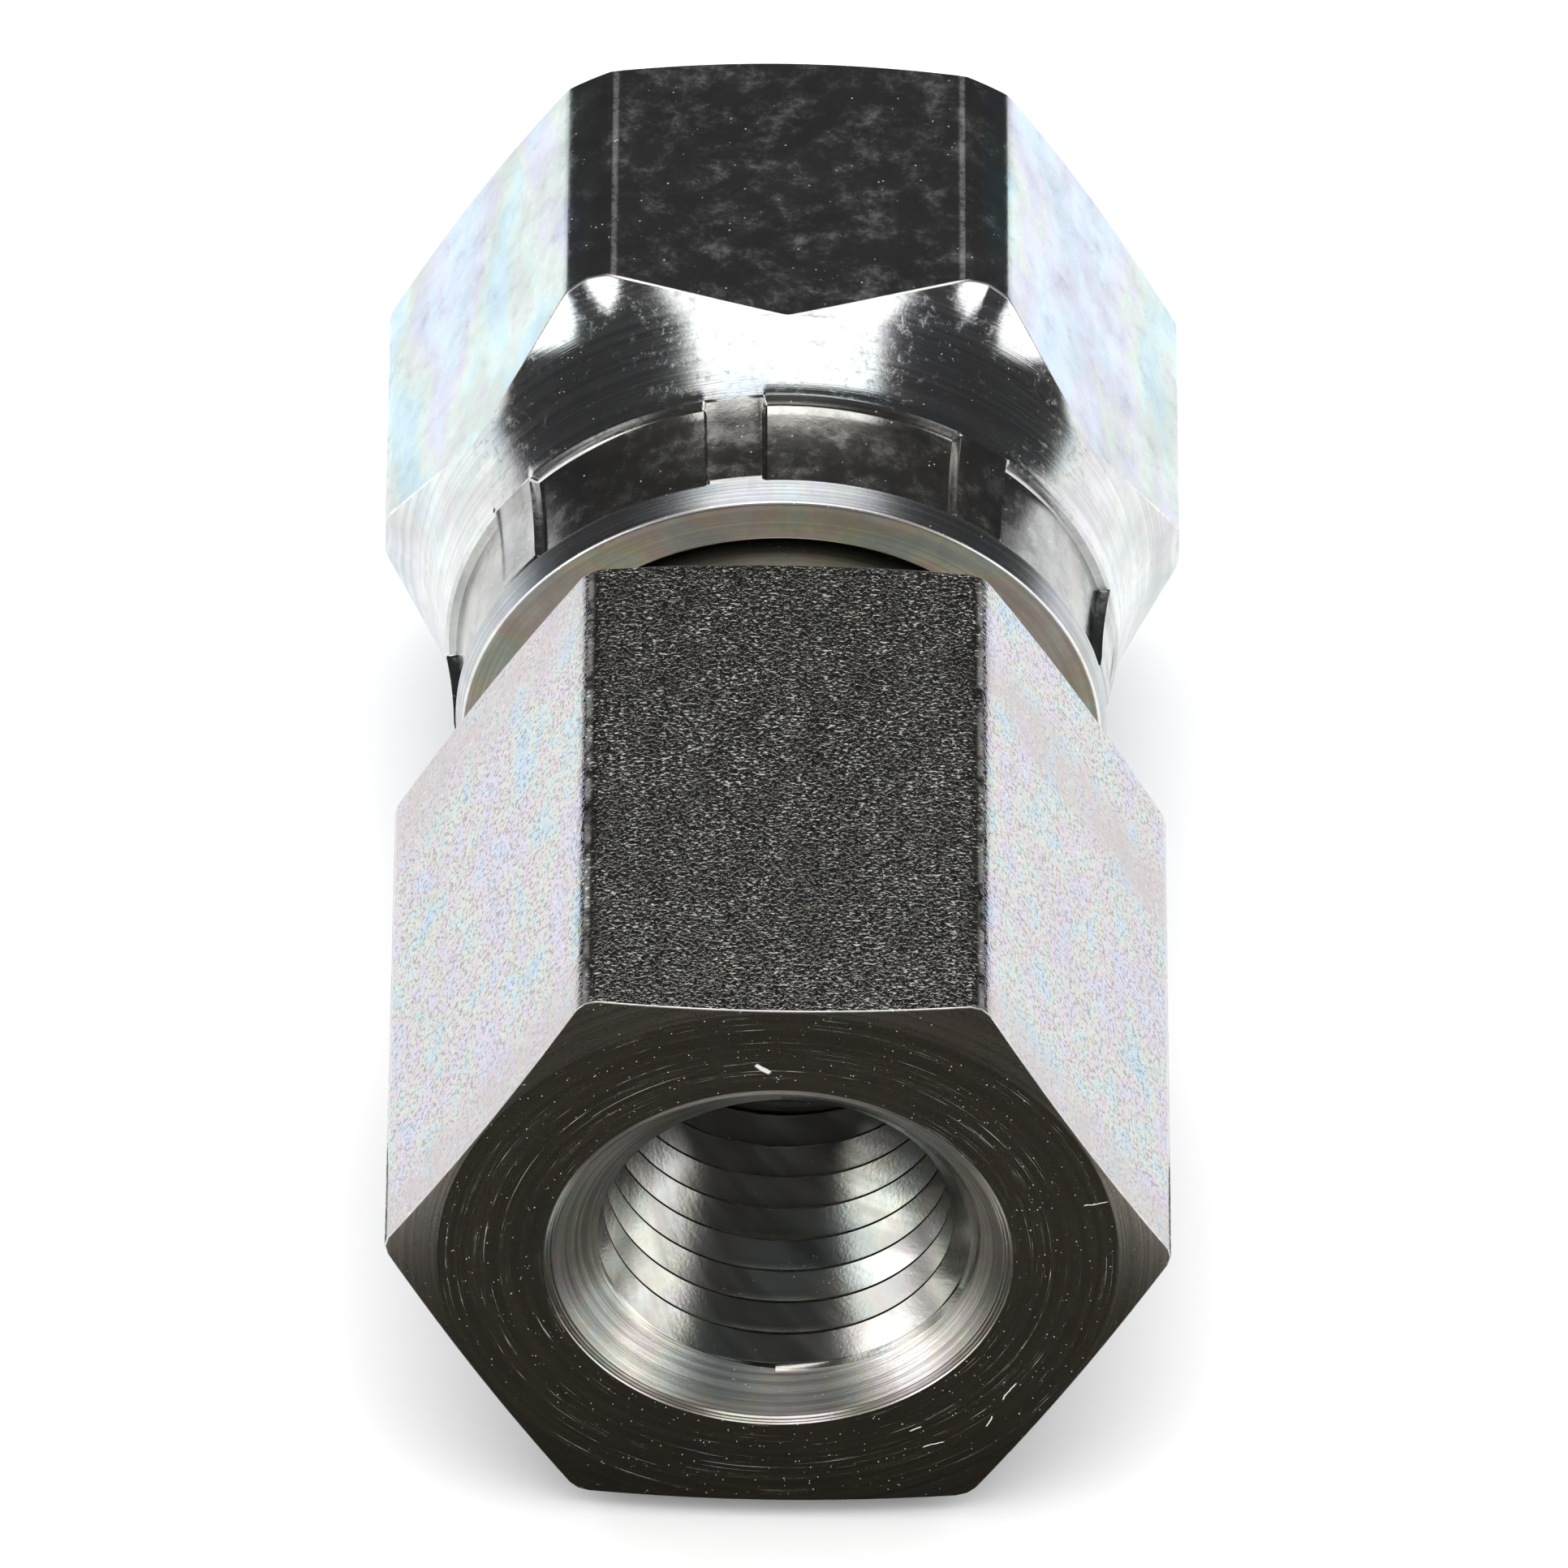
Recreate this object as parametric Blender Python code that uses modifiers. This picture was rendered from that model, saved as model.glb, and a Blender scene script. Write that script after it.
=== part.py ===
"""Swivel pipe union: a hexagonal body whose stem carries a crimped swivel nut that turns freely.

Run with: blender --background --python part.py

Units are metres, +Z up. Both pieces share one axis, which lies along Y. The body's threaded port
opens towards -Y and the nut's towards +Y, each hexagon has a flat on top, and the origin is the
middle of the overall length. Stations along the axis are counted from the body's port face.
"""

import math

import bmesh
import bpy

MM = 0.001
INCH = 0.0254
FULL_TURN = 2 * math.pi
TURN_STEPS = 72
HEX_SIDES = 6
HEX_CORNER = 1 / math.sqrt(3)  # corner radius of a hexagon, per unit across its flats
CUTTER_MARGIN = 1.0 * MM  # how far a cutter runs past the metal that it removes
CUTTER_RADIUS = 40.0 * MM
SHARP_ANGLE = math.radians(25)

# Running fits between the swivel nut and the stem inside it
CLEARANCE = 0.30 * MM
LIP_CLEARANCE = 0.38 * MM

# Body
BODY_FLATS = 7 / 8 * INCH
BODY_HEX_LENGTH = 21.0 * MM
BODY_CORNER_TRIM = 0.12 * MM  # taken off each hexagon corner
BODY_CHAMFER_LAND = 0.10 * MM  # end face's circle, inside the flats
BODY_CHAMFER_SLOPE = math.tan(math.radians(12))  # turned end chamfers
PORT_BORE = 11.2 * MM  # crests of a 1/4-18 taper pipe thread
PORT_DEPTH = 14.5 * MM
PORT_MOUTH = 14.6 * MM
PORT_MOUTH_DEPTH = 1.25 * MM
DRILL_POINT_SLOPE = math.tan(math.radians(31))
WATERWAY = 8.0 * MM

# Stem: neck, collar and nose, from the body's hexagon towards the nut's mouth
NUT_GAP = 3.5 * MM  # neck that shows between the hexagon and the nut
COLLAR_STEP = 0.87 * MM  # collar's height over the neck, which the crimped lip holds
COLLAR_LENGTH = 2.6 * MM
NOSE_CLEARANCE = 0.8 * MM  # between the nose and the crests of the nut's thread
NOSE_LENGTH = 1.6 * MM
NOSE_TIP_LAND = 0.9 * MM
SEAT_SLOPE = math.tan(math.radians(30))
EDGE_BREAK = 0.15 * MM

# Swivel nut
NUT_FLATS = 15 / 16 * INCH
NUT_CORNER_TRIM = 0.45 * MM
NUT_CHAMFER_LAND = 0.20 * MM
NUT_CHAMFER_SLOPE = math.tan(math.radians(20))
SWIVEL_PORT_DEPTH = 14.5 * MM  # from the inner shoulder to the nut's mouth
SWIVEL_MOUTH_STEP = 0.9 * MM  # countersink's width over the thread's crests
SHOULDER_WIDTH = 1.95 * MM  # inner shoulder that pulls on the collar
SKIRT_STEP = 0.03 * MM  # how far the turned skirt lies inside the flats
SKIRT_WALL = 2.13 * MM
SKIRT_LENGTH = 7.65 * MM  # from the nut's back to the fillet
FILLET_RADIUS = 2.0 * MM
FILLET_STEPS = 5
LIP_WALL = 1.79 * MM
LIP_LENGTH = 2.0 * MM  # inner length of the lip that is pressed in behind the collar
LIP_BAND = 0.95 * MM  # outer ring at the skirt's end that the jaws leave alone

# Crimp: sunk facets left by the jaws, with a rib of unpressed metal between each two
JAWS = 8
JAW_ANGLE = math.radians(35.5)
JAW_FIRST = math.radians(13.5)  # first facet's middle, from the top towards +X
JAW_STEPS = 8
CRIMP_LENGTH = 3.65 * MM
CRIMP_DEPTH = 0.30 * MM
RIB_STEP = 0.10 * MM  # ribs over the lip's band
TAPER_STEPS = 6

# Radii, from the nut's flats inwards
SKIRT_RADIUS = NUT_FLATS / 2 - SKIRT_STEP
NUT_CORNER_RADIUS = NUT_FLATS * HEX_CORNER - NUT_CORNER_TRIM
CAVITY_RADIUS = SKIRT_RADIUS - SKIRT_WALL
SWIVEL_BORE_RADIUS = CAVITY_RADIUS - SHOULDER_WIDTH
COLLAR_RADIUS = CAVITY_RADIUS - CLEARANCE
NECK_RADIUS = COLLAR_RADIUS - COLLAR_STEP
LIP_BORE_RADIUS = NECK_RADIUS + LIP_CLEARANCE
LIP_RADIUS = LIP_BORE_RADIUS + LIP_WALL
NOSE_RADIUS = SWIVEL_BORE_RADIUS - NOSE_CLEARANCE
NOSE_TIP_RADIUS = WATERWAY / 2 + NOSE_TIP_LAND

# Stations along the axis
NUT_BACK = BODY_HEX_LENGTH + NUT_GAP
LIP_END = NUT_BACK + LIP_LENGTH
COLLAR_BACK = LIP_END + CLEARANCE * math.sqrt(2) - LIP_CLEARANCE
COLLAR_FULL = COLLAR_BACK + COLLAR_STEP
COLLAR_FRONT = COLLAR_FULL + COLLAR_LENGTH
NOSE_SHOULDER = COLLAR_FRONT + NOSE_LENGTH
NOSE_TIP = NOSE_SHOULDER + (NOSE_RADIUS - NOSE_TIP_RADIUS) / SEAT_SLOPE
NUT_SHOULDER = COLLAR_FRONT + CLEARANCE
NUT_MOUTH = NUT_SHOULDER + SWIVEL_PORT_DEPTH
CRIMP_START = NUT_BACK + LIP_BAND
CRIMP_END = CRIMP_START + CRIMP_LENGTH
FILLET_START = NUT_BACK + SKIRT_LENGTH
TAPER_LENGTH = FILLET_START - CRIMP_START
OVERALL_LENGTH = NUT_MOUTH


def clear_scene():
    """Removes every object that the scene starts with."""
    for obj in list(bpy.data.objects):
        bpy.data.objects.remove(obj, do_unlink=True)


def new_collection(name, helpers=False):
    """A collection in the scene; one for helpers is left out of renders."""
    collection = bpy.data.collections.new(name)
    collection.hide_render = helpers
    bpy.context.scene.collection.children.link(collection)
    return collection


def add_axis(collection):
    """The empty that carries both pieces: its origin is the port face and its +Z is world +Y."""
    axis = bpy.data.objects.new("union_axis", None)
    axis.location = (0, -OVERALL_LENGTH / 2, 0)
    axis.rotation_euler = (-math.pi / 2, 0, 0)
    collection.objects.link(axis)
    return axis


def add_object(name, mesh, axis, collection):
    """An object on the union's axis."""
    obj = bpy.data.objects.new(name, mesh)
    obj.parent = axis
    collection.objects.link(obj)
    return obj


def turned(name, profile, axis, collection, steps=TURN_STEPS):
    """A ring turned from a closed outline of (radius, station), outer side first and downwards."""
    points = [(radius, 0, station) for radius, station in profile]
    edges = [(i, (i + 1) % len(points)) for i in range(len(points))]
    mesh = bpy.data.meshes.new(name)
    mesh.from_pydata(points, edges, [])
    obj = add_object(name, mesh, axis, collection)
    screw = obj.modifiers.new("turn", "SCREW")
    screw.axis = "Z"
    screw.angle = FULL_TURN
    screw.steps = screw.render_steps = steps
    screw.use_merge_vertices = True
    screw.merge_threshold = 1e-5
    return obj


def hex_cutter(name, flats, start, end, axis, collection):
    """A ring with a hexagonal hole, which mills the flats between two stations."""
    outline = [
        (CUTTER_RADIUS, end),
        (CUTTER_RADIUS, start),
        (flats * HEX_CORNER, start),
        (flats * HEX_CORNER, end),
    ]
    return turned(name, outline, axis, collection, steps=HEX_SIDES)


def jaw_cutter(index, axis, collection):
    """The metal that one crimping jaw pushes in: a sector of a ring with a tapered inner face."""
    outline = [
        (crimped_radius(CRIMP_START) - CRIMP_DEPTH, CRIMP_START),
        (crimped_radius(CRIMP_END) - CRIMP_DEPTH, CRIMP_END),
        (NUT_CORNER_RADIUS, CRIMP_END),
        (NUT_CORNER_RADIUS, CRIMP_START),
    ]
    bm = bmesh.new()
    corners = [bm.verts.new((radius, 0, station)) for radius, station in outline]
    sides = [bm.edges.new((a, b)) for a, b in zip(corners, corners[1:] + corners[:1])]
    bmesh.ops.spin(
        bm,
        geom=corners + sides,
        axis=(0, 0, 1),
        cent=(0, 0, 0),
        angle=JAW_ANGLE,
        steps=JAW_STEPS,
    )
    bmesh.ops.holes_fill(bm, edges=[edge for edge in bm.edges if edge.is_boundary])
    bmesh.ops.recalc_face_normals(bm, faces=bm.faces)
    mesh = bpy.data.meshes.new(f"jaw_{index}")
    bm.to_mesh(mesh)
    bm.free()
    jaw = add_object(f"jaw_{index}", mesh, axis, collection)
    middle = JAW_FIRST + index * FULL_TURN / JAWS - math.pi / 2
    jaw.rotation_euler = (0, 0, middle - JAW_ANGLE / 2)
    return jaw


def cut(piece, cutter):
    """Takes the cutter's volume out of the piece."""
    boolean = piece.modifiers.new(cutter.name, "BOOLEAN")
    boolean.operation = "DIFFERENCE"
    boolean.solver = "EXACT"
    boolean.object = cutter
    cutter.hide_render = True
    cutter.display_type = "WIRE"


def crimped_radius(station):
    """Outer radius of the skirt and its ribs, drawn in from the fillet to the lip on a parabola."""
    share = (station - CRIMP_START) / TAPER_LENGTH
    low = LIP_RADIUS + RIB_STEP
    return low + (SKIRT_RADIUS - low) * share**2


def body_profile():
    """Outline of the body's turned form, from the nose's tip round to the water way."""
    face = BODY_FLATS / 2 - BODY_CHAMFER_LAND
    corner = BODY_FLATS * HEX_CORNER - BODY_CORNER_TRIM
    chamfer = (corner - face) * BODY_CHAMFER_SLOPE
    port = PORT_BORE / 2
    bore = WATERWAY / 2
    return [
        (NOSE_TIP_RADIUS, NOSE_TIP),
        (NOSE_RADIUS, NOSE_SHOULDER),
        (NOSE_RADIUS, COLLAR_FRONT),
        (COLLAR_RADIUS - EDGE_BREAK, COLLAR_FRONT),
        (COLLAR_RADIUS, COLLAR_FRONT - EDGE_BREAK),
        (COLLAR_RADIUS, COLLAR_FULL),
        (NECK_RADIUS, COLLAR_BACK),
        (NECK_RADIUS, BODY_HEX_LENGTH),
        (face, BODY_HEX_LENGTH),
        (corner, BODY_HEX_LENGTH - chamfer),
        (corner, chamfer),
        (face, 0),
        (PORT_MOUTH / 2, 0),
        (port, PORT_MOUTH_DEPTH),
        (port, PORT_DEPTH),
        (bore, PORT_DEPTH + (port - bore) * DRILL_POINT_SLOPE),
        (bore, NOSE_TIP),
    ]


def fillet_points():
    """The turned fillet from the hexagon's corners down to the skirt, outermost point first."""
    rise = min(NUT_CORNER_RADIUS - SKIRT_RADIUS, FILLET_RADIUS)
    reach = math.acos(1 - rise / FILLET_RADIUS)
    points = []
    for step in range(FILLET_STEPS, -1, -1):
        angle = reach * step / FILLET_STEPS
        radius = SKIRT_RADIUS + FILLET_RADIUS * (1 - math.cos(angle))
        points.append((radius, FILLET_START + FILLET_RADIUS * math.sin(angle)))
    return points


def skirt_points():
    """The skirt from where the fillet ends down to the edge of the lip."""
    steps = range(TAPER_STEPS - 1, -1, -1)
    stations = [CRIMP_START + TAPER_LENGTH * step / TAPER_STEPS for step in steps]
    return [(crimped_radius(station), station) for station in stations] + [
        (LIP_RADIUS, CRIMP_START),
        (LIP_RADIUS, NUT_BACK + EDGE_BREAK),
        (LIP_RADIUS - EDGE_BREAK, NUT_BACK),
    ]


def nut_profile():
    """Outline of the nut's turned form, from its mouth down the outside and back up the inside."""
    face = NUT_FLATS / 2 - NUT_CHAMFER_LAND
    chamfer = (NUT_CORNER_RADIUS - face) * NUT_CHAMFER_SLOPE
    mouth = SWIVEL_BORE_RADIUS + SWIVEL_MOUTH_STEP
    return [
        (mouth, NUT_MOUTH),
        (face, NUT_MOUTH),
        (NUT_CORNER_RADIUS, NUT_MOUTH - chamfer),
        *fillet_points(),
        *skirt_points(),
        (LIP_BORE_RADIUS, NUT_BACK),
        (LIP_BORE_RADIUS, LIP_END),
        (CAVITY_RADIUS, LIP_END + CAVITY_RADIUS - LIP_BORE_RADIUS),
        (CAVITY_RADIUS, NUT_SHOULDER),
        (SWIVEL_BORE_RADIUS, NUT_SHOULDER),
        (SWIVEL_BORE_RADIUS, NUT_MOUTH - SWIVEL_MOUTH_STEP),
    ]


def build_body(axis, parts, cutters):
    """The body: a turned form with the flats of its hexagon milled up to the neck."""
    body = turned("body", body_profile(), axis, parts)
    end = BODY_HEX_LENGTH + NUT_GAP / 2
    flats = hex_cutter("body_flats", BODY_FLATS, -CUTTER_MARGIN, end, axis, cutters)
    cut(body, flats)
    return body


def build_swivel_nut(axis, parts, cutters):
    """The swivel nut: a turned form with its flats milled and its skirt crimped by the jaws."""
    nut = turned("swivel_nut", nut_profile(), axis, parts)
    start, end = NUT_BACK - CUTTER_MARGIN, NUT_MOUTH + CUTTER_MARGIN
    cut(nut, hex_cutter("nut_flats", NUT_FLATS, start, end, axis, cutters))
    for index in range(JAWS):
        cut(nut, jaw_cutter(index, axis, cutters))
    return nut


def plated_steel(name, color, roughness):
    """A zinc-plated steel finish."""
    material = bpy.data.materials.new(name)
    material.use_nodes = True
    shader = material.node_tree.nodes["Principled BSDF"]
    shader.inputs["Base Color"].default_value = (*color, 1)
    shader.inputs["Metallic"].default_value = 1.0
    shader.inputs["Roughness"].default_value = roughness
    return material


def finish(piece, material):
    """Applies the piece's modifiers, gives it its finish and shades its round faces smooth."""
    graph = bpy.context.evaluated_depsgraph_get()
    mesh = bpy.data.meshes.new_from_object(piece.evaluated_get(graph))
    mesh.name = piece.name
    mesh.materials.clear()
    mesh.materials.append(material)
    mesh.shade_smooth()
    mesh.set_sharp_from_angle(angle=SHARP_ANGLE)
    piece.modifiers.clear()
    piece.data = mesh


def main():
    """Builds the union."""
    clear_scene()
    parts = new_collection("swivel_pipe_union")
    cutters = new_collection("cutters", helpers=True)
    axis = add_axis(parts)
    body = build_body(axis, parts, cutters)
    nut = build_swivel_nut(axis, parts, cutters)
    bpy.context.view_layer.update()
    finish(body, plated_steel("body_plating", (0.55, 0.54, 0.53), 0.38))
    finish(nut, plated_steel("nut_plating", (0.62, 0.64, 0.66), 0.28))


main()
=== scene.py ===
"""Looks of the swivel pipe union: fine meshes, plated finishes and a plain studio around the frame."""

import logging
import math
from dataclasses import dataclass, field
from enum import Enum
from typing import Any

import bmesh
import bpy
import numpy as np
from mathutils import Matrix, Vector


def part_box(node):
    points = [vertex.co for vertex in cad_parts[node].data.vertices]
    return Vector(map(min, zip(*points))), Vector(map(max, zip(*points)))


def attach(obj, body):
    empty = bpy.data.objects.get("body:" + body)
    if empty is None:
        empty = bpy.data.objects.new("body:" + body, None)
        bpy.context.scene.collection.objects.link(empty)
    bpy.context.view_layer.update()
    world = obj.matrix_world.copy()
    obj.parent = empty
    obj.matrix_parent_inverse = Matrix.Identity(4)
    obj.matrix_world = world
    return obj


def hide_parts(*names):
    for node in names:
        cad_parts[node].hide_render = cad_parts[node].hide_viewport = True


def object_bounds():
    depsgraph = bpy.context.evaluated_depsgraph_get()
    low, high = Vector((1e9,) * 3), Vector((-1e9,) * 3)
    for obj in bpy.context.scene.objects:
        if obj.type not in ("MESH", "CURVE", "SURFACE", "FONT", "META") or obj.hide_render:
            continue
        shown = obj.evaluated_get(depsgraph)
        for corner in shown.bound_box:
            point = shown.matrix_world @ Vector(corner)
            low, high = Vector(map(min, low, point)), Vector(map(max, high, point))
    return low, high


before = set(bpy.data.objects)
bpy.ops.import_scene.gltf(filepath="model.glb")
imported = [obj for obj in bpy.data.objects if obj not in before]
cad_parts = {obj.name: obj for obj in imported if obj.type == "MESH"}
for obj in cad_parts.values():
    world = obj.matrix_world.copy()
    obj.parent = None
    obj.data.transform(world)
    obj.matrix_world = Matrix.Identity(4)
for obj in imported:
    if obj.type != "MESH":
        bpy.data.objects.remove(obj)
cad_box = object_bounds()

MM = 0.001
FULL_TURN = 2 * math.pi
FLAT_PITCH = math.pi / 3
ANGLE_DIGITS = 6
MICROMETRE = 1e-6
MERGE_DISTANCE = 1e-7
SHARP_ANGLE = math.radians(38)
LOG = logging.getLogger("pipe_union")

Colour = tuple[float, float, float]
Reach = float | np.ndarray


# ---------------------------------------------------------------------------------------------
# Shapes


class Zone(Enum):
    """The kinds of surface that a piece has, each with a finish of its own."""

    FLATS = "flats"
    FACE = "face"
    CHAMFER = "chamfer"
    EDGE = "edge"
    COUNTERSINK = "countersink"
    THREAD = "thread"
    STEM = "stem"
    SKIRT = "skirt"
    FACET = "facet"
    BAND = "band"
    LIP_FACE = "lip_face"


def smooth_min(a: Reach, b: Reach, blend: float) -> Reach:
    """The lower of two values, with a small round where they cross.

    Args:
        a: The first value.
        b: The second value.
        blend: How near the two have to be for the round to start.

    Returns:
        The blended minimum.
    """
    near = np.maximum(blend - np.abs(a - b), 0.0) / blend
    return np.minimum(a, b) - near * near * blend / 4


def smooth_step(value: Reach, low: float, high: float) -> Reach:
    """A ramp from 0 at low to 1 at high, with soft ends."""
    share = np.clip((value - low) / (high - low), 0.0, 1.0)
    return share * share * (3 - 2 * share)


def off_middle(angles: np.ndarray, pitch: float) -> np.ndarray:
    """How far each angle is from the nearest multiple of a pitch, with its sign."""
    return (angles + pitch / 2) % pitch - pitch / 2


@dataclass
class HexagonBar:
    """The section of a hexagonal bar whose corners are turned down. Sizes are in millimetres."""

    SIDES = 6
    FLAT_STEPS = (-4, -2, -1, 0, 1, 2, 4)
    EDGE_STEPS = (-2.5, -1, -0.35, 0.35, 1, 2.5)

    apothem: float
    corner: float
    edge_blend: float = 0.03
    edge_angle: float = math.radians(0.25)

    def radius(self, angles: np.ndarray) -> np.ndarray:
        """The radius at each angle, which counts from the middle of the top flat.

        Args:
            angles: Angles from the top towards +X.

        Returns:
            One radius for each angle.
        """
        flat = self.apothem / np.cos(off_middle(angles, FLAT_PITCH))
        return smooth_min(flat, np.full_like(angles, self.corner), self.edge_blend)

    def key_angles(self) -> list[float]:
        """The angles at which the section needs columns.

        Returns:
            Angles round the middle of every flat and both edges of every corner strip.
        """
        half = math.acos(self.apothem / self.corner)
        found = []
        for flat in range(self.SIDES):
            found += [flat * FLAT_PITCH + step * self.edge_angle for step in self.FLAT_STEPS]
            corner = (flat + 0.5) * FLAT_PITCH
            for side in (-1, 1):
                found += [corner + side * (half + step * self.edge_angle) for step in self.EDGE_STEPS]
        return found


def column_angles(steps: int, keys: list[float], clear: float) -> np.ndarray:
    """Even angles over a full turn, with key angles in the place of the even ones near them.

    Args:
        steps: How many even angles a turn has.
        keys: Angles that must be there.
        clear: An even angle nearer than this to a key angle is left out.

    Returns:
        Sorted angles from 0 to a full turn, both ends included.
    """
    exact = np.unique(np.round(np.array(keys) % FULL_TURN, ANGLE_DIGITS))
    even = np.linspace(0, FULL_TURN, steps, endpoint=False)
    gap = np.abs(off_middle(even[:, None] - exact[None, :], FULL_TURN)).min(axis=1)
    even = even[(gap > clear) | (even == 0)]
    return np.append(np.union1d(even, exact), FULL_TURN)


@dataclass
class PipeThread:
    """An inside thread with 60 degree flanks. Sizes are in millimetres."""

    crest: float  # radius at the crests
    depth: float
    start: float
    end: float
    pitch: float = 25.4 / 18
    taper: float = 0.0  # fall of the radius for each millimetre along the thread
    crest_land: float = 0.10
    root_land: float = 0.04
    edge_break: float = 0.03
    flank_rows: int = 5
    run_out: float = 1.6  # length over which the thread fades at its end
    run_in: float = 0.0  # and at its start

    def profile(self) -> tuple[np.ndarray, np.ndarray]:
        """One pitch of the thread.

        Returns:
            Shares of the pitch, starting in the middle of a crest, and the depth at each of them.
        """
        half = self.pitch / 2
        crest, root = self.crest_land / 2, self.root_land / 2
        flank = np.linspace(crest + self.edge_break, half - root, self.flank_rows)
        fall = (flank - crest) / (half - root - crest) * self.depth
        side = np.concatenate([[crest], flank])
        depths = np.concatenate([[0.0], fall])
        shares = np.concatenate([[0.0], side, [half], (self.pitch - side)[::-1]]) / self.pitch
        return shares, np.concatenate([[0.0], depths, [self.depth], depths[::-1]])

    def surface(self, angles: np.ndarray) -> tuple[np.ndarray, np.ndarray]:
        """Rows that climb with the helix, held between the thread's two ends.

        Args:
            angles: The columns' angles.

        Returns:
            Radii and stations, as arrays of rows by columns.
        """
        shares, depths = self.profile()
        turns = math.ceil((self.end - self.start) / self.pitch) + 2
        rows = (np.arange(-1, turns)[:, None] + shares[None, :]).ravel()[:, None]
        climb = self.start + (rows + angles[None, :] / FULL_TURN) * self.pitch
        stations = np.clip(climb, self.start, self.end)
        share = ((stations - climb) / self.pitch + rows) % 1.0
        level = np.interp(share, np.append(shares, 1.0), np.append(depths, 0.0))
        fade = smooth_step(self.end - stations, 0.0, self.run_out)
        if self.run_in > 0:
            fade = fade * smooth_step(stations - self.start, 0.0, self.run_in)
        return self.crest - self.taper * (stations - self.start) + level * fade, stations


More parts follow.
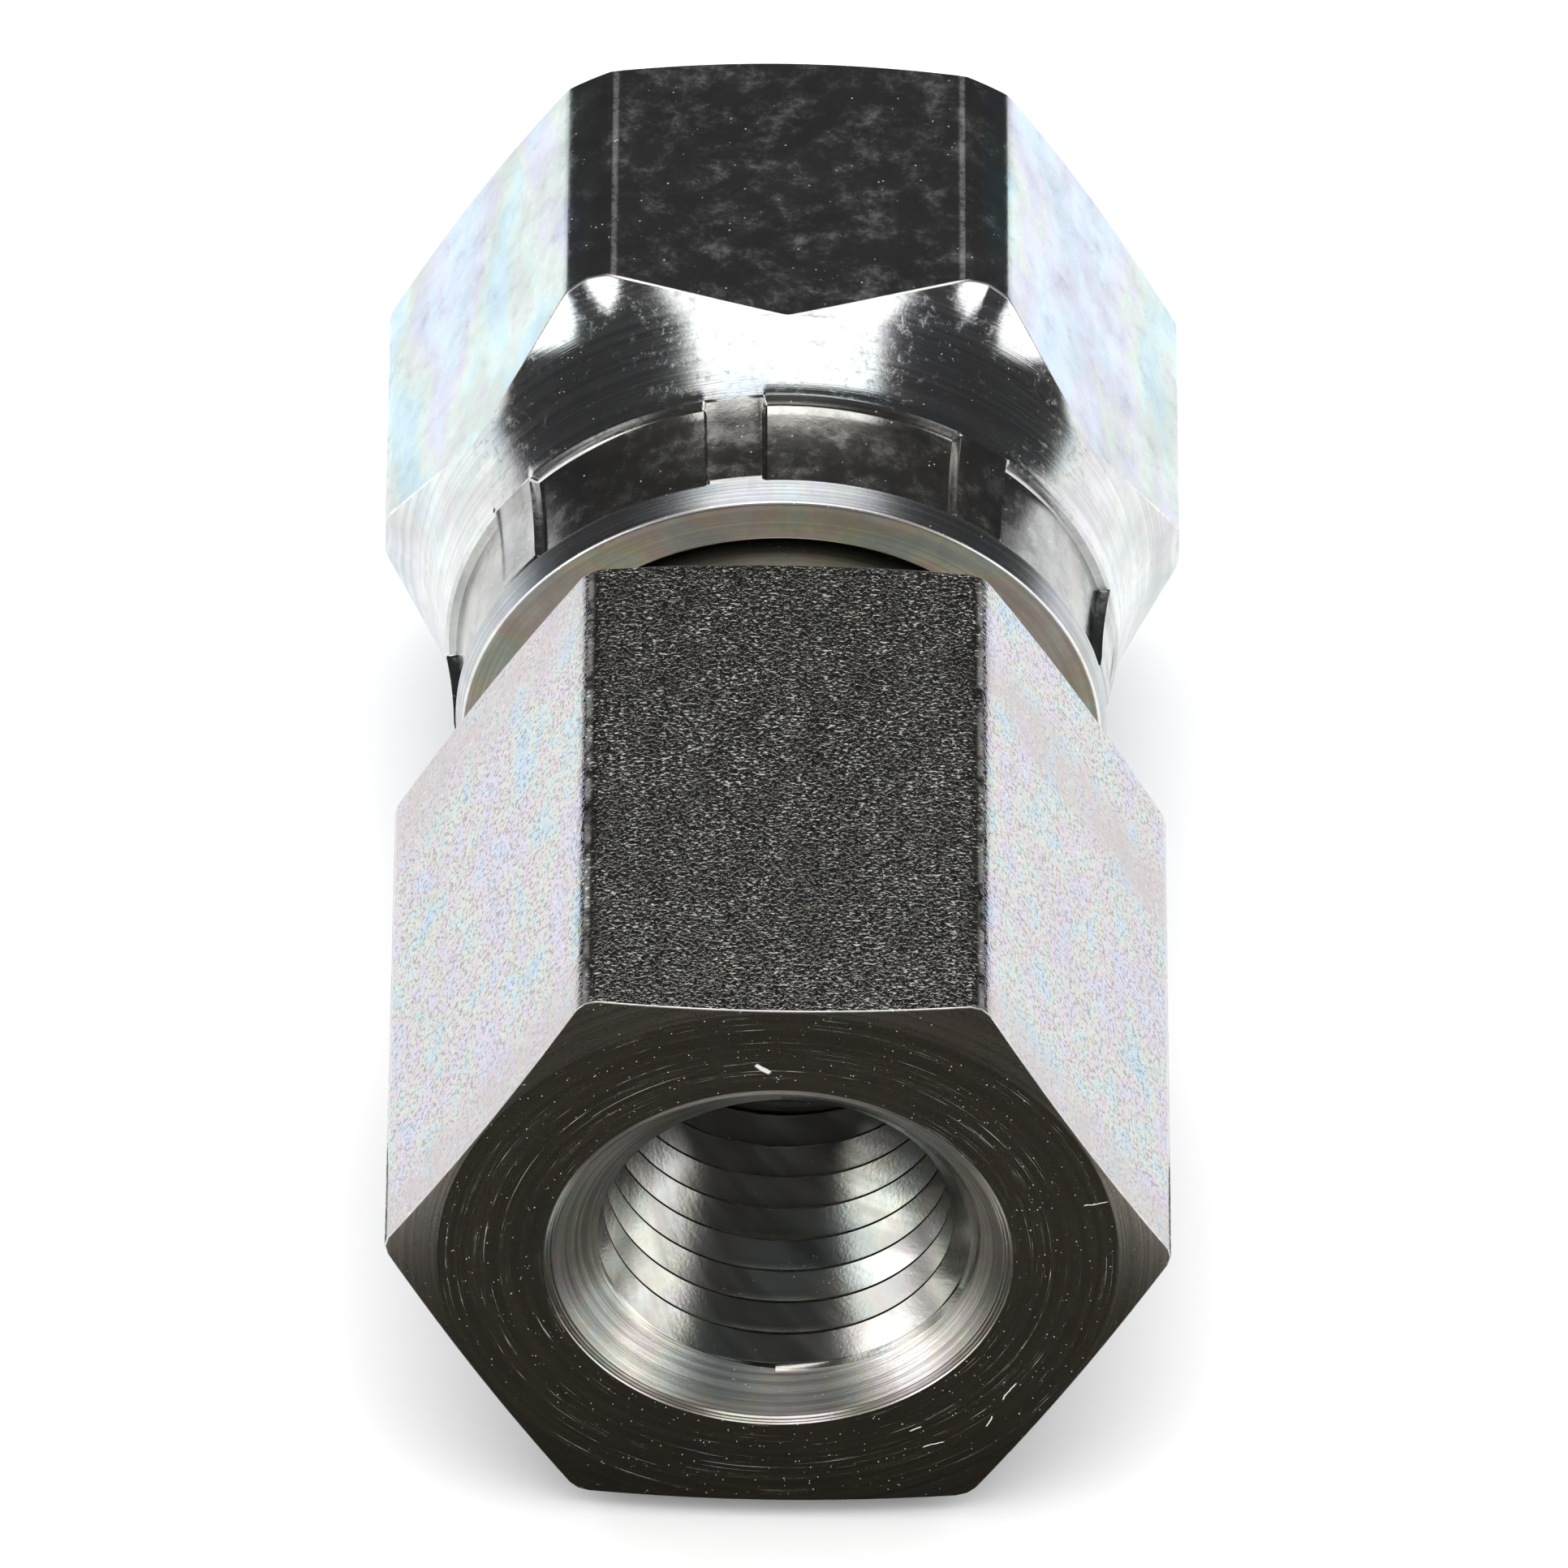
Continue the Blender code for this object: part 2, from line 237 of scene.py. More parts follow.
class Outline:
    """A closed outline at every angle, gathered corner by corner and then turned into one mesh."""

    ARC_STEPS = 4
    ROUND_REACH = 0.4  # most of a side that a round may take up
    SUPPORT_STEP = 1.3  # place of the support row beside a round, in lengths of the round
    SUPPORT_REACH = 0.48  # most of a side that the support row may take up
    TINY = 1e-9
    STRAIGHT = 0.99999  # cosine past which a corner counts as straight

    def __init__(self, angles: np.ndarray) -> None:
        """Starts an outline.

        Args:
            angles: The columns' angles, from 0 to a full turn.
        """
        self.angles = angles
        self.points: list[np.ndarray] = []
        self.rounds: list[float] = []
        self.zones: list[Zone] = []
        self.edge_zones: list[Zone | None] = []

    def corner(
        self, radius: Reach, station: Reach, zone: Zone, rounding: float = 0.0, edge: Zone | None = None
    ) -> None:
        """Adds a corner.

        Args:
            radius: Its radius, one for all columns or one for each.
            station: Its place along the axis, in the same way.
            zone: The zone of the surface from here to the next corner.
            rounding: The radius of its round, or 0 for a sharp corner.
            edge: The zone of the round itself, or None for the zone after it.
        """
        ones = np.ones_like(self.angles)
        self.points.append(np.stack([radius * ones, station * ones], axis=-1))
        self.rounds.append(rounding)
        self.zones.append(zone)
        self.edge_zones.append(edge)

    def rows(self, radii: np.ndarray, stations: np.ndarray, zone: Zone) -> None:
        """Adds many corners at once, from arrays of rows by columns."""
        for radius, station in zip(radii, stations):
            self.corner(radius, station, zone)

    def _rounded(self, index: int) -> list[tuple[np.ndarray, Zone]]:
        """The rows that stand for one rounded corner: its arc, with a support row on either side.

        Args:
            index: The corner's place in the outline.

        Returns:
            Each row's points, with the zone of the surface after it.
        """
        here = self.points[index]
        sides = [self.points[near % len(self.points)] - here for near in (index - 1, index + 1)]
        reach = [np.maximum(np.linalg.norm(side, axis=-1, keepdims=True), self.TINY) for side in sides]
        ways = [side / length for side, length in zip(sides, reach)]
        cosine = np.clip((ways[0] * ways[1]).sum(-1, keepdims=True), -self.STRAIGHT, self.STRAIGHT)
        half = np.arccos(cosine) / 2
        run = np.minimum(self.rounds[index] / np.tan(half), self.ROUND_REACH * np.minimum(reach[0], reach[1]))
        inward = ways[0] + ways[1]
        inward /= np.maximum(np.linalg.norm(inward, axis=-1, keepdims=True), self.TINY)
        centre = here + inward * run / np.cos(half)
        spokes = [here + way * run - centre for way in ways]
        supports = [
            here + way * np.minimum(run * self.SUPPORT_STEP, self.SUPPORT_REACH * length)
            for way, length in zip(ways, reach)
        ]
        sweep = math.pi - 2 * half
        zone = self.zones[index]
        arc_zone = self.edge_zones[index] or zone
        found = [(supports[0], self.zones[index - 1])]
        for step in range(self.ARC_STEPS + 1):
            share = step / self.ARC_STEPS
            mixed = np.sin((1 - share) * sweep) * spokes[0] + np.sin(share * sweep) * spokes[1]
            found.append((centre + mixed / np.sin(sweep), arc_zone if step < self.ARC_STEPS else zone))
        found.append((supports[1], zone))
        return found

    def mesh(self, name: str, mouth: float, order: list[Zone]) -> bpy.types.Mesh:
        """Turns the outline into a closed mesh.

        Args:
            name: The mesh's name.
            mouth: Where station 0 lies along Y, in millimetres.
            order: The zones in the order of the piece's material slots.

        Returns:
            The mesh, in metres, shaded smooth with sharp edges marked.
        """
        found: list[tuple[np.ndarray, Zone]] = []
        for index, rounding in enumerate(self.rounds):
            if rounding > 0:
                found.extend(self._rounded(index))
            else:
                found.append((self.points[index], self.zones[index]))
        rings = np.stack([row for row, _ in found])
        radius, station = rings[..., 0], rings[..., 1]
        place = np.stack(
            [radius * np.sin(self.angles), station + mouth, radius * np.cos(self.angles)], axis=-1
        )
        count, columns = radius.shape
        row, column = np.meshgrid(np.arange(count), np.arange(columns - 1), indexing="ij")
        following = (row + 1) % count
        faces = np.stack(
            [
                row * columns + column,
                row * columns + column + 1,
                following * columns + column + 1,
                following * columns + column,
            ],
            axis=-1,
        ).reshape(-1, 4)
        slots = np.repeat([order.index(zone) for _, zone in found], columns - 1)
        mesh = bpy.data.meshes.new(name)
        mesh.from_pydata((place * MM).reshape(-1, 3).tolist(), [], faces.tolist())
        mesh.polygons.foreach_set("material_index", slots.astype(np.int32))
        bm = bmesh.new()
        bm.from_mesh(mesh)
        bmesh.ops.remove_doubles(bm, verts=bm.verts, dist=MERGE_DISTANCE)
        bmesh.ops.dissolve_degenerate(bm, edges=bm.edges, dist=MERGE_DISTANCE)
        bmesh.ops.recalc_face_normals(bm, faces=bm.faces)
        bm.to_mesh(mesh)
        bm.free()
        mesh.shade_smooth()
        mesh.set_sharp_from_angle(angle=SHARP_ANGLE)
        return mesh


# ---------------------------------------------------------------------------------------------
# Shader maths


class Wire:
    """An output socket of a node, on which Python's operators add Math nodes."""

    def __init__(self, graph: "Graph", socket: bpy.types.NodeSocket) -> None:
        """Wraps the socket."""
        self.graph = graph
        self.socket = socket

    def math(self, operation: str, *others: "Wire | float") -> "Wire":
        """Adds a Math node with this value first.

        Args:
            operation: The Math node's operation.
            others: Its further values.

        Returns:
            The node's result.
        """
        values = dict(enumerate((self, *others)))
        return self.graph.node("ShaderNodeMath", {"operation": operation}, values)

    def _second(self, operation: str, first: float) -> "Wire":
        """Adds a Math node with a plain number first and this value second."""
        return self.graph.node("ShaderNodeMath", {"operation": operation}, {0: first, 1: self})

    def __add__(self, other: "Wire | float") -> "Wire":
        """This plus other."""
        return self.math("ADD", other)

    __radd__ = __add__

    def __mul__(self, other: "Wire | float") -> "Wire":
        """This times other."""
        return self.math("MULTIPLY", other)

    __rmul__ = __mul__

    def __sub__(self, other: "Wire | float") -> "Wire":
        """This minus other."""
        return self.math("SUBTRACT", other)

    def __rsub__(self, other: float) -> "Wire":
        """Other minus this."""
        return self._second("SUBTRACT", other)

    def __truediv__(self, other: "Wire | float") -> "Wire":
        """This over other."""
        return self.math("DIVIDE", other)

    def __rtruediv__(self, other: float) -> "Wire":
        """Other over this."""
        return self._second("DIVIDE", other)

    def __pow__(self, other: "Wire | float") -> "Wire":
        """This to the power of other."""
        return self.math("POWER", other)

    def __rpow__(self, other: float) -> "Wire":
        """Other to the power of this."""
        return self._second("POWER", other)

    def __abs__(self) -> "Wire":
        """This without its sign."""
        return self.math("ABSOLUTE")

    def held(self) -> "Wire":
        """This, held at 1 or less."""
        return self.math("MINIMUM", 1.0)

    def step(self, low: float, high: float) -> "Wire":
        """A soft ramp of this value, which may also fall.

        Args:
            low: Where the ramp is 0.
            high: Where it is 1. Under low, the ramp falls.

        Returns:
            The ramp, between 0 and 1.
        """
        settings = {"interpolation_type": "SMOOTHSTEP"}
        if low < high:
            return self.graph.node("ShaderNodeMapRange", settings, {0: self, 1: low, 2: high})
        return self.graph.node("ShaderNodeMapRange", settings, {0: self, 1: high, 2: low, 3: 1.0, 4: 0.0})


class Graph:
    """The node tree of one material, with the coordinates that every finish starts from."""

    def __init__(self, name: str) -> None:
        """Makes the material, with one Principled shader.

        Args:
            name: The material's name.
        """
        self.material = bpy.data.materials.new(name)
        self.material.use_nodes = True
        self.tree = self.material.node_tree
        self.shader = self.tree.nodes["Principled BSDF"]
        place = self.node("ShaderNodeTexCoord", out="Object")
        self.point = self.node("ShaderNodeVectorMath", {"operation": "SCALE"}, {0: place, "Scale": 1 / MM})
        self.x, self.y, self.z = self.parts(self.point)
        self.radius = (self.x * self.x + self.z * self.z) ** 0.5
        self.around_x = self.x / self.radius
        self.around_z = self.z / self.radius

    def node(
        self,
        kind: str,
        settings: dict[str, Any] | None = None,
        inputs: dict[Any, Any] | None = None,
        out: int | str = 0,
    ) -> Wire:
        """Adds any node.

        Args:
            kind: The node's type.
            settings: Properties set before its sockets; "stops" holds a ramp's positions and colours.
            inputs: Values or wires by socket name or number.
            out: The output to return.

        Returns:
            The chosen output.
        """
        node = self.tree.nodes.new(kind)
        for key, value in (settings or {}).items():
            if key == "stops":
                self._set_stops(node.color_ramp, value)
            else:
                setattr(node, key, value)
        for key, value in (inputs or {}).items():
            if isinstance(value, Wire):
                self.tree.links.new(value.socket, node.inputs[key])
            else:
                node.inputs[key].default_value = value
        return Wire(self, node.outputs[out])

    @staticmethod
    def _set_stops(ramp: bpy.types.ColorRamp, stops: list[tuple[float, Colour]]) -> None:
        """Gives a ramp its stops.

        Args:
            ramp: The ramp of a node.
            stops: Each stop's position and colour, from 0 to 1.
        """
        while len(ramp.elements) < len(stops):
            ramp.elements.new(1.0)
        for element, (position, colour) in zip(ramp.elements, stops):
            element.position = position
            element.color = (*colour, 1)

    def parts(self, vector: Wire) -> tuple[Wire, Wire, Wire]:
        """The three numbers of a vector.

        Args:
            vector: Any vector.

        Returns:
            Its X, Y and Z.
        """
        first = self.node("ShaderNodeSeparateXYZ", None, {0: vector})
        outputs = first.socket.node.outputs
        return first, Wire(self, outputs[1]), Wire(self, outputs[2])

    def vector(self, x: Wire | float, y: Wire | float, z: Wire | float) -> Wire:
        """A vector of three numbers."""
        return self.node("ShaderNodeCombineXYZ", None, {0: x, 1: y, 2: z})

    def stretched(self, x: float, y: float, z: float) -> Wire:
        """The point in millimetres, with each axis scaled."""
        return self.node("ShaderNodeVectorMath", {"operation": "MULTIPLY"}, {0: self.point, 1: (x, y, z)})

    def noise(self, vector: Wire, scale: float, detail: float = 2.0, rough: float = 0.5) -> Wire:
        """Cloudy noise between 0 and 1."""
        values = {"Vector": vector, "Scale": scale, "Detail": detail, "Roughness": rough}
        return self.node("ShaderNodeTexNoise", None, values)

    def cells(self, vector: Wire, scale: float) -> Wire:
        """The distance to the nearest of many scattered points, in cell sizes."""
        return self.node("ShaderNodeTexVoronoi", None, {"Vector": vector, "Scale": scale})

    def rings(self, frequency: float, along: float = 1.0, outward: float = 0.0, drift: float = 0.6) -> Wire:
        """Tool lines that run round the axis and change slowly along their way.

        Args:
            frequency: Lines a millimetre.
            along: How much the pattern moves along the axis.
            outward: How much it moves with the radius.
            drift: How fast a line changes on its way round.

        Returns:
            A value between 0 and 1.
        """
        across = (self.y * along + self.radius * outward) * frequency
        return self.noise(self.vector(across, self.around_x * drift, self.around_z * drift), 1.0, 3.0, 0.65)

    def mix(self, share: Wire | float, a: Wire | Colour, b: Wire | Colour, blend: str = "MIX") -> Wire:
        """Mixes two colours.

        Args:
            share: How much of b there is.
            a: The first colour.
            b: The second colour.
            blend: The Mix node's blend type.

        Returns:
            The mixed colour.
        """
        ends = [value if isinstance(value, Wire) else (*value, 1) for value in (a, b)]
        return self.node(
            "ShaderNodeMix",
            {"data_type": "RGBA", "blend_type": blend},
            {0: share, 6: ends[0], 7: ends[1]},
            out=2,
        )

    def tinted(self, share: Wire | float, base: Wire, film: Wire) -> Wire:
        """A colour with a film's colour multiplied into it, as far as a share says."""
        return self.mix(share, base, self.mix(1.0, base, film, "MULTIPLY"))

    def ramp(self, value: Wire, stops: list[tuple[float, Colour]]) -> Wire:
        """A colour that follows a value."""
        return self.node("ShaderNodeValToRGB", {"stops": stops}, {0: value})

    def relief(self, height: Wire, depth: float) -> Wire:
        """A Bump node whose height of 1 stands for a depth in micrometres."""
        values = {"Height": height, "Distance": depth * MICROMETRE, "Strength": 1.0}
        return self.node("ShaderNodeBump", None, values)

    def finish(self, **sockets: Any) -> bpy.types.Material:
        """Sets the shader's sockets, whose names are written with _ for a space.

        Args:
            sockets: A wire or a plain value for each.

        Returns:
            The finished material.
        """
        for key, value in sockets.items():
            socket = self.shader.inputs[key.replace("_", " ")]
            if isinstance(value, Wire):
                self.tree.links.new(value.socket, socket)
            else:
                socket.default_value = value
        return self.material


CHROMATE = [
    (0.0, (0.76, 0.85, 0.96)),
    (0.20, (0.90, 0.90, 0.92)),
    (0.36, (0.94, 0.76, 0.84)),
    (0.48, (0.98, 0.84, 0.70)),
    (0.60, (0.96, 0.95, 0.72)),
    (0.74, (0.78, 0.94, 0.88)),
    (1.0, (0.72, 0.84, 0.98)),
]


@dataclass(frozen=True)
class Finish:
    """A zinc-plated steel finish. Subclasses say how it varies. Scales are in clouds a millimetre."""

    SPECK_EDGE = (0.22, 0.08)  # distance in cells over which a speck fades in
    SPECK_GATE = (0.72, 0.78)  # noise from which a cell holds a speck
    GATE_FALL = 0.3  # how far a full share lowers that
    GATE_SCALE = 0.6  # size of the noise, in scales of the specks

    name: str
    colour: Colour
    roughness: float

    def build(self) -> bpy.types.Material:
        """Makes the material."""
        raise NotImplementedError

    def darker(self, share: float) -> Colour:
        """The finish's own colour, brought down to a share of itself."""
        red, green, blue = self.colour
        return share * red, share * green, share * blue

    def aside(self, graph: Graph, limits: tuple[float, float]) -> Wire:
        """Where the side flats are, and not the top and bottom ones, whose half width is given; it sets the
        top and bottom flats' painted shading apart from the sides.
        """
        return abs(graph.x).step(*limits)

    def specks(self, graph: Graph, scale: float, share: float) -> Wire:
        """Sparse pale specks of dust and burst plating.

        Args:
            graph: The material's graph.
            scale: Cells a millimetre.
            share: How many of the cells hold a speck, from 0 to 1.

        Returns:
            A mask.
        """
        near = graph.cells(graph.point, scale).step(*self.SPECK_EDGE)
        gate = graph.noise(graph.point, scale * self.GATE_SCALE, 1.0)
        return near * gate.step(*(edge - self.GATE_FALL * share for edge in self.SPECK_GATE))

    def chromate(
        self,
        graph: Graph,
        scale: float,
        detail: float = 5.0,
        rough: float = 0.62,
        along: float = 0.45,
        spread: float = 0.28,
    ) -> Wire:
        """The pastel colour film of a clear chromate coat.

        Args:
            graph: The material's graph.
            scale: Clouds a millimetre.
            detail: How many steps of finer clouds lie in them.
            rough: How strong the finer clouds are.
            along: How the clouds are scaled along the axis. Under 1 they are drawn out.
            spread: The noise that takes the first colour. The last is as far from 1.

        Returns:
            A colour.
        """
        cloud = graph.noise(graph.stretched(1.0, along, 1.0), scale, detail, rough)
        return graph.ramp(cloud.step(spread, 1 - spread), CHROMATE)


@dataclass(frozen=True)
class Stain:
    """A place on the side flats where the film has gone dull. Sizes are in millimetres."""

    side: float  # -1 for the left flats, 1 for the right ones
    station: float
    width: float


@dataclass(frozen=True)
class DrawnPlating(Finish):
    """Flats of cold-drawn bar: pitted grain, lengthwise streaks and a thin colour film on the side flats,
    with painted shade on the top and bottom flats.
    """

    grain: float = 7.0
    fine: float = 2.6  # scale of the finer grain, in scales of the grain
    depth: float = 4.5
    top_bottom_painted_shading: Colour = (0.40, 0.38, 0.33)  # painted shade: colour of the top and bottom flats, darker than the sides for how light falls on them
    half_width: tuple[float, float] = (6.36, 6.44)
    film_scale: float = 0.6
    dull: Colour = (0.40, 0.355, 0.36)
    # The dust colour also paints the worn corners and, as a painted highlight, the glints.
    dust: Colour = (0.85, 0.84, 0.82)
    pit_shade: float = 0.35
    streak_shade: float = 0.8
    streak_share: float = 0.12
    wear_radius: tuple[float, float] = (12.665, 12.705)
    glint_roughness: float = 0.44
    stain_inside: tuple[float, float] = (5.5, 6.8)
    stains: tuple[Stain, ...] = (
        Stain(-1.0, -1.5, 4.5),
        Stain(-1.0, -22.4, 3.5),
        Stain(1.0, -22.4, 3.0),
        Stain(1.0, -6.0, 2.2),
    )

    def _stained(self, graph: Graph) -> Wire:
        """Where the film has gone dull: towards the ends of the side flats and in one band across.

        Args:
            graph: The material's graph.

        Returns:
            A mask.
        """
        total: Wire | float = 0.0
        for stain in self.stains:
            off = abs(graph.y - stain.station) / stain.width
            total = total + (1.0 - off.step(0.2, 1.0)) * (graph.x * stain.side).step(*self.stain_inside)
        return total

    def _glints(self, graph: Graph) -> Wire:
        """Crystals that catch the light, thicker in some patches than in others: bump and gloss, and a
        painted highlight.

        Args:
            graph: The material's graph.

        Returns:
            A mask.
        """
        crystal = graph.noise(graph.stretched(0.75, 1.5, 0.75), self.grain * 1.1, 1.5, 0.5)
        patch = graph.noise(graph.stretched(1.0, 0.5, 1.0), 0.8, 4.0, 0.7)
        return crystal.step(0.60, 0.67) * (patch.step(0.34, 0.62) * 0.8 + 0.2)

    def build(self) -> bpy.types.Material:
        """Makes the material.

        Returns:
            The material, whose side flats carry the film.
        """
        graph = Graph(self.name)
        grain = graph.noise(graph.point, self.grain, 3.0, 0.6)
        fine = graph.noise(graph.point, self.grain * self.fine, 2.0)
        streak = graph.noise(graph.stretched(1.1, 0.05, 1.1), 1.0, 4.0, 0.6)
        worn = graph.noise(graph.point, 0.9, 4.0, 0.65)
        glint = self._glints(graph)
        aside = self.aside(graph, self.half_width)
        film = self.chromate(graph, self.film_scale, 8.0, 0.78, along=0.6, spread=0.32)
        pits = grain.step(0.48, 0.41) * 0.8 + fine.step(0.5, 0.35) * 0.2
        dull = self._stained(graph) * (worn.step(0.35, 0.60) * 0.5 + 0.3)
        wear = graph.radius.step(*self.wear_radius) * worn.step(0.40, 0.55)
        # Pale dust specks and worn corners, and glints painted pale as a painted highlight.
        pale = (self.specks(graph, 3.0, 0.5) * 0.6 + wear * 0.4 + glint * 0.5).held()
        # Painted shade: the top and bottom flats take a darker colour than the sides, for how light falls on
        # them.
        base = graph.mix(aside, self.top_bottom_painted_shading, self.colour)
        base = graph.mix(pits, base, self.darker(self.pit_shade))
        base = graph.mix(streak.step(0.35, 0.65) * self.streak_share, base, self.darker(self.streak_shade))
        base = graph.tinted(aside, base, film)
        base = graph.mix(dull, base, self.dull)
        rough = self.roughness + glint * self.glint_roughness
        rough = rough + streak.step(0.4, 0.7) * 0.04 + worn.step(0.55, 0.75) * 0.06
        return graph.finish(
            Base_Color=graph.mix(pale, base, self.dust),
            Metallic=1.0 - pale * 0.4,
            Roughness=rough + wear * 0.15,
            Normal=graph.relief(grain.step(0.40, 0.62) + fine * 0.4 + glint * 0.6, self.depth),
        )


@dataclass(frozen=True)
class Mark:
    """A nick or scratch on a face across the axis. Sizes are in millimetres."""

    x: float
    z: float
    turn: float  # direction in degrees, from +X towards +Z
    length: float
    width: float


@dataclass(frozen=True)
class TurnedPlating(Finish):
    """A turned surface: tool lines round the axis, with specks and faint film colours."""

    frequency: float = 9.0
    along: float = 0.0
    outward: float = 1.0
    depth: float = 3.0
    film: float = 0.25
    film_scale: float = 0.3
    dust: Colour = (0.9, 0.9, 0.88)
    speck_scale: float = 7.5
    speck_share: float = 0.25
    scuff: float = 0.0
    mottle: float = 0.0
    lines: float = 0.35
    line_shade: float = 0.5
    blotch_shade: float = 0.8
    marks: tuple[Mark, ...] = ()
    mark_warp: float = 0.35

    def _marked(self, graph: Graph) -> Wire:
        """The nicks and scratches, with uneven edges.

        Args:
            graph: The material's graph.

        Returns:
            A mask.
        """
        total: Wire | float = 0.0
        warp = (graph.noise(graph.point, 3.0, 2.0) - 0.5) * self.mark_warp
        for mark in self.marks:
            across, up = graph.x - mark.x, graph.z - mark.z
            cos, sin = math.cos(math.radians(mark.turn)), math.sin(math.radians(mark.turn))
            far = abs(across * cos + up * sin) / mark.length
            off = abs((up * cos - across * sin) + warp * mark.length) / mark.width
            total = total + (1.0 - far.step(0.7, 1.0)) * (1.0 - off.step(0.5, 1.0))
        return total

    def build(self) -> bpy.types.Material:
        """Makes the material.

        Returns:
            The material, with its tool lines in colour, gloss and relief.
        """
        graph = Graph(self.name)
        coarse = graph.rings(self.frequency, self.along, self.outward)
        fine = graph.rings(self.frequency * 3.3, self.along, self.outward, 1.6)
        blotch = graph.noise(graph.point, 0.7, 4.0, 0.6)
        grain = graph.noise(graph.point, 9.0, 2.0)
        scuffs = fine.step(0.60, 0.68) * coarse.step(0.40, 0.6) * blotch.step(0.42, 0.6)
        pale = self.specks(graph, self.speck_scale, self.speck_share) + scuffs * self.scuff
        pitted = graph.noise(graph.point, 2.8, 6.0, 0.75).step(0.53, 0.74) * self.mottle
        if self.marks:
            pale = (pale + self._marked(graph)).held()
        base = graph.mix(blotch.step(0.3, 0.7), self.colour, self.darker(self.blotch_shade))
        base = graph.mix(coarse.step(0.60, 0.40) * self.lines, base, self.darker(self.line_shade))
        base = graph.tinted(self.film, base, self.chromate(graph, self.film_scale))
        return graph.finish(
            Base_Color=graph.mix(pale, base, self.dust),
            Metallic=1.0 - pale * 0.6,
            Roughness=self.roughness + blotch * 0.12 + coarse * 0.10 - 0.1 + pitted * 0.22,
            Normal=graph.relief(coarse + fine * 0.6 + grain * 0.35 + pitted * 0.8, self.depth),
        )


@dataclass(frozen=True)
class CloudyPlating(Finish):
    """Smooth milled flats under bright plating: soft clouds, blotches, a pale blue film on the sides and
    painted shading on the top and bottom flats.
    """

    depth: float = 3.5
    film: float = 0.8
    film_scale: float = 0.16
    top_bottom_painted_shading: Colour = (0.54, 0.52, 0.51)  # painted shading: colour of the top and bottom flats, set apart from the sides' for how light falls on them
    half_width: tuple[float, float] = (6.3, 6.9)
    dim: float = 0.78  # what the darkest clouds leave of the colour
    dust: Colour = (0.85, 0.85, 0.85)
    blotch_shade: float = 0.6
    blotch_share: float = 0.30
    line_rise: tuple[float, float] = (13.16, 13.21)  # radius of the paler line beside each corner
    line_fall: tuple[float, float] = (13.27, 13.24)

    def build(self) -> bpy.types.Material:
        """Makes the material.

        Returns:
            The material, whose side flats carry the film and whose top and bottom flats carry painted
            shading.
        """
        graph = Graph(self.name)
        cloud = graph.noise(graph.point, 0.33, 6.0, 0.66)
        blotch = graph.noise(graph.point, 0.9, 8.0, 0.74)
        grain = graph.noise(graph.point, 5.0, 3.0, 0.6)
        line = graph.radius.step(*self.line_rise) * graph.radius.step(*self.line_fall)
        pale = (self.specks(graph, 4.5, 0.35) + line * grain.step(0.3, 0.6) * 0.22).held()
        aside = self.aside(graph, self.half_width)
        # Painted shading: the top and bottom flats take a colour of their own, set apart from the sides' for
        # how light falls on them.
        base = graph.mix(aside, self.top_bottom_painted_shading, self.colour)
        base = graph.mix(cloud.step(0.35, 0.65) * (1.0 - self.dim), base, (0.0, 0.0, 0.0))
        base = graph.tinted(aside * self.film, base, self.chromate(graph, self.film_scale, 7.0))
        base = graph.mix(blotch.step(0.35, 0.75) * self.blotch_share, base, self.darker(self.blotch_shade))
        return graph.finish(
            Base_Color=graph.mix(pale * 0.5, base, self.dust),
            Metallic=1.0 - pale * 0.5,
            Roughness=self.roughness + blotch.step(0.42, 0.76) * 0.26 + cloud * 0.10 - 0.06 + line * 0.10,
            Normal=graph.relief(blotch * 1.2 + grain * 0.6, self.depth),
        )


# ---------------------------------------------------------------------------------------------
# Pieces


@dataclass
class Piece:
    """A piece of the union that stands for a CAD node. Sizes are in millimetres."""

    name: str
    node: str
    body: str
    slot: str
    finishes: dict[Zone, Finish]
    steps: int = 216
    zones: list[Zone] = field(init=False)

    def __post_init__(self) -> None:
        """Reads the piece's place from the frame."""
        low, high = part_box(self.node)
        self.low, self.high = low / MM, high / MM
        self.zones = list(self.finishes)

    def outline(self) -> Outline:
        """The piece's outline at every angle."""
        raise NotImplementedError

    def mouth(self) -> float:
        """Where station 0 lies along Y."""
        return self.low.y

    def build(self) -> bpy.types.Object:
        """Builds the mesh, dresses it and puts it on its body.

        Returns:
            The finished object.
        """
        mesh = self.outline().mesh(self.name, self.mouth(), self.zones)
        for zone in self.zones:
            mesh.materials.append(self.finishes[zone].build())
        piece = bpy.data.objects.new(self.name, mesh)
        bpy.context.scene.collection.objects.link(piece)
        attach(piece, self.body)
        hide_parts(self.node)
        LOG.info("%s: %d faces for %s", self.name, len(mesh.polygons), self.node)
        return piece


